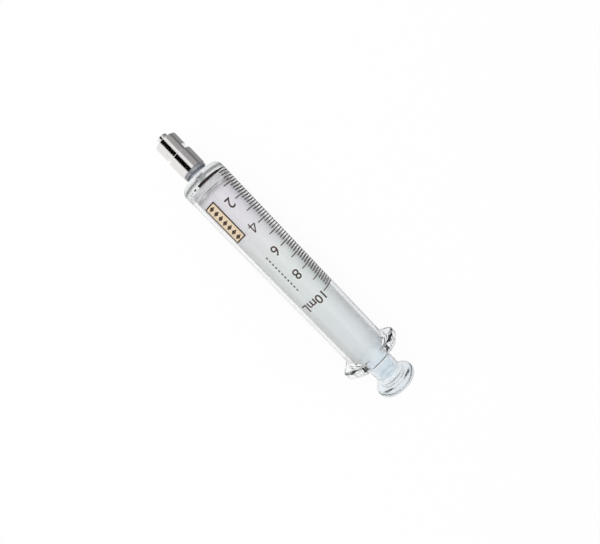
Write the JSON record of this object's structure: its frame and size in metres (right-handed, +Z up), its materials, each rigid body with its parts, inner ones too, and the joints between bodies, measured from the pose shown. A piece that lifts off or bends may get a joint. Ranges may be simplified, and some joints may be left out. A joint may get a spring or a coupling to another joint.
{
  "type": "luer lock syringe",
  "caption": "Glass syringe with a ground glass plunger, winged finger flange and a metal nozzle with a locking collar.",
  "frame": {"origin": "middle of the length and width, at the height of the surface that the syringe lies on", "axes": "+X along the syringe from nozzle to thumb disc, +Y across the finger flange's wings, +Z up from the flange's flat"},
  "size_m": [0.128, 0.0262, 0.0179],
  "materials": {
    "barrel": "clear polished glass",
    "plunger": "ground glass piston, clear stem and disc",
    "ferrule": "polished plate",
    "locking_collar": "polished plate",
    "cement": "dull dark grey"
  },
  "bodies": {
    "barrel_assembly": {"barrel": "barrel", "ferrule": "ferrule", "locking_collar": "locking_collar", "cement": "cement"},
    "plunger_body": {"plunger": "plunger"}
  },
  "joints": [
    {"name": "plunger_slide", "type": "slide", "parent": "barrel_assembly", "child": "plunger_body", "axis": [1, 0, 0], "range_m": [0, 0.07]}
  ]
}
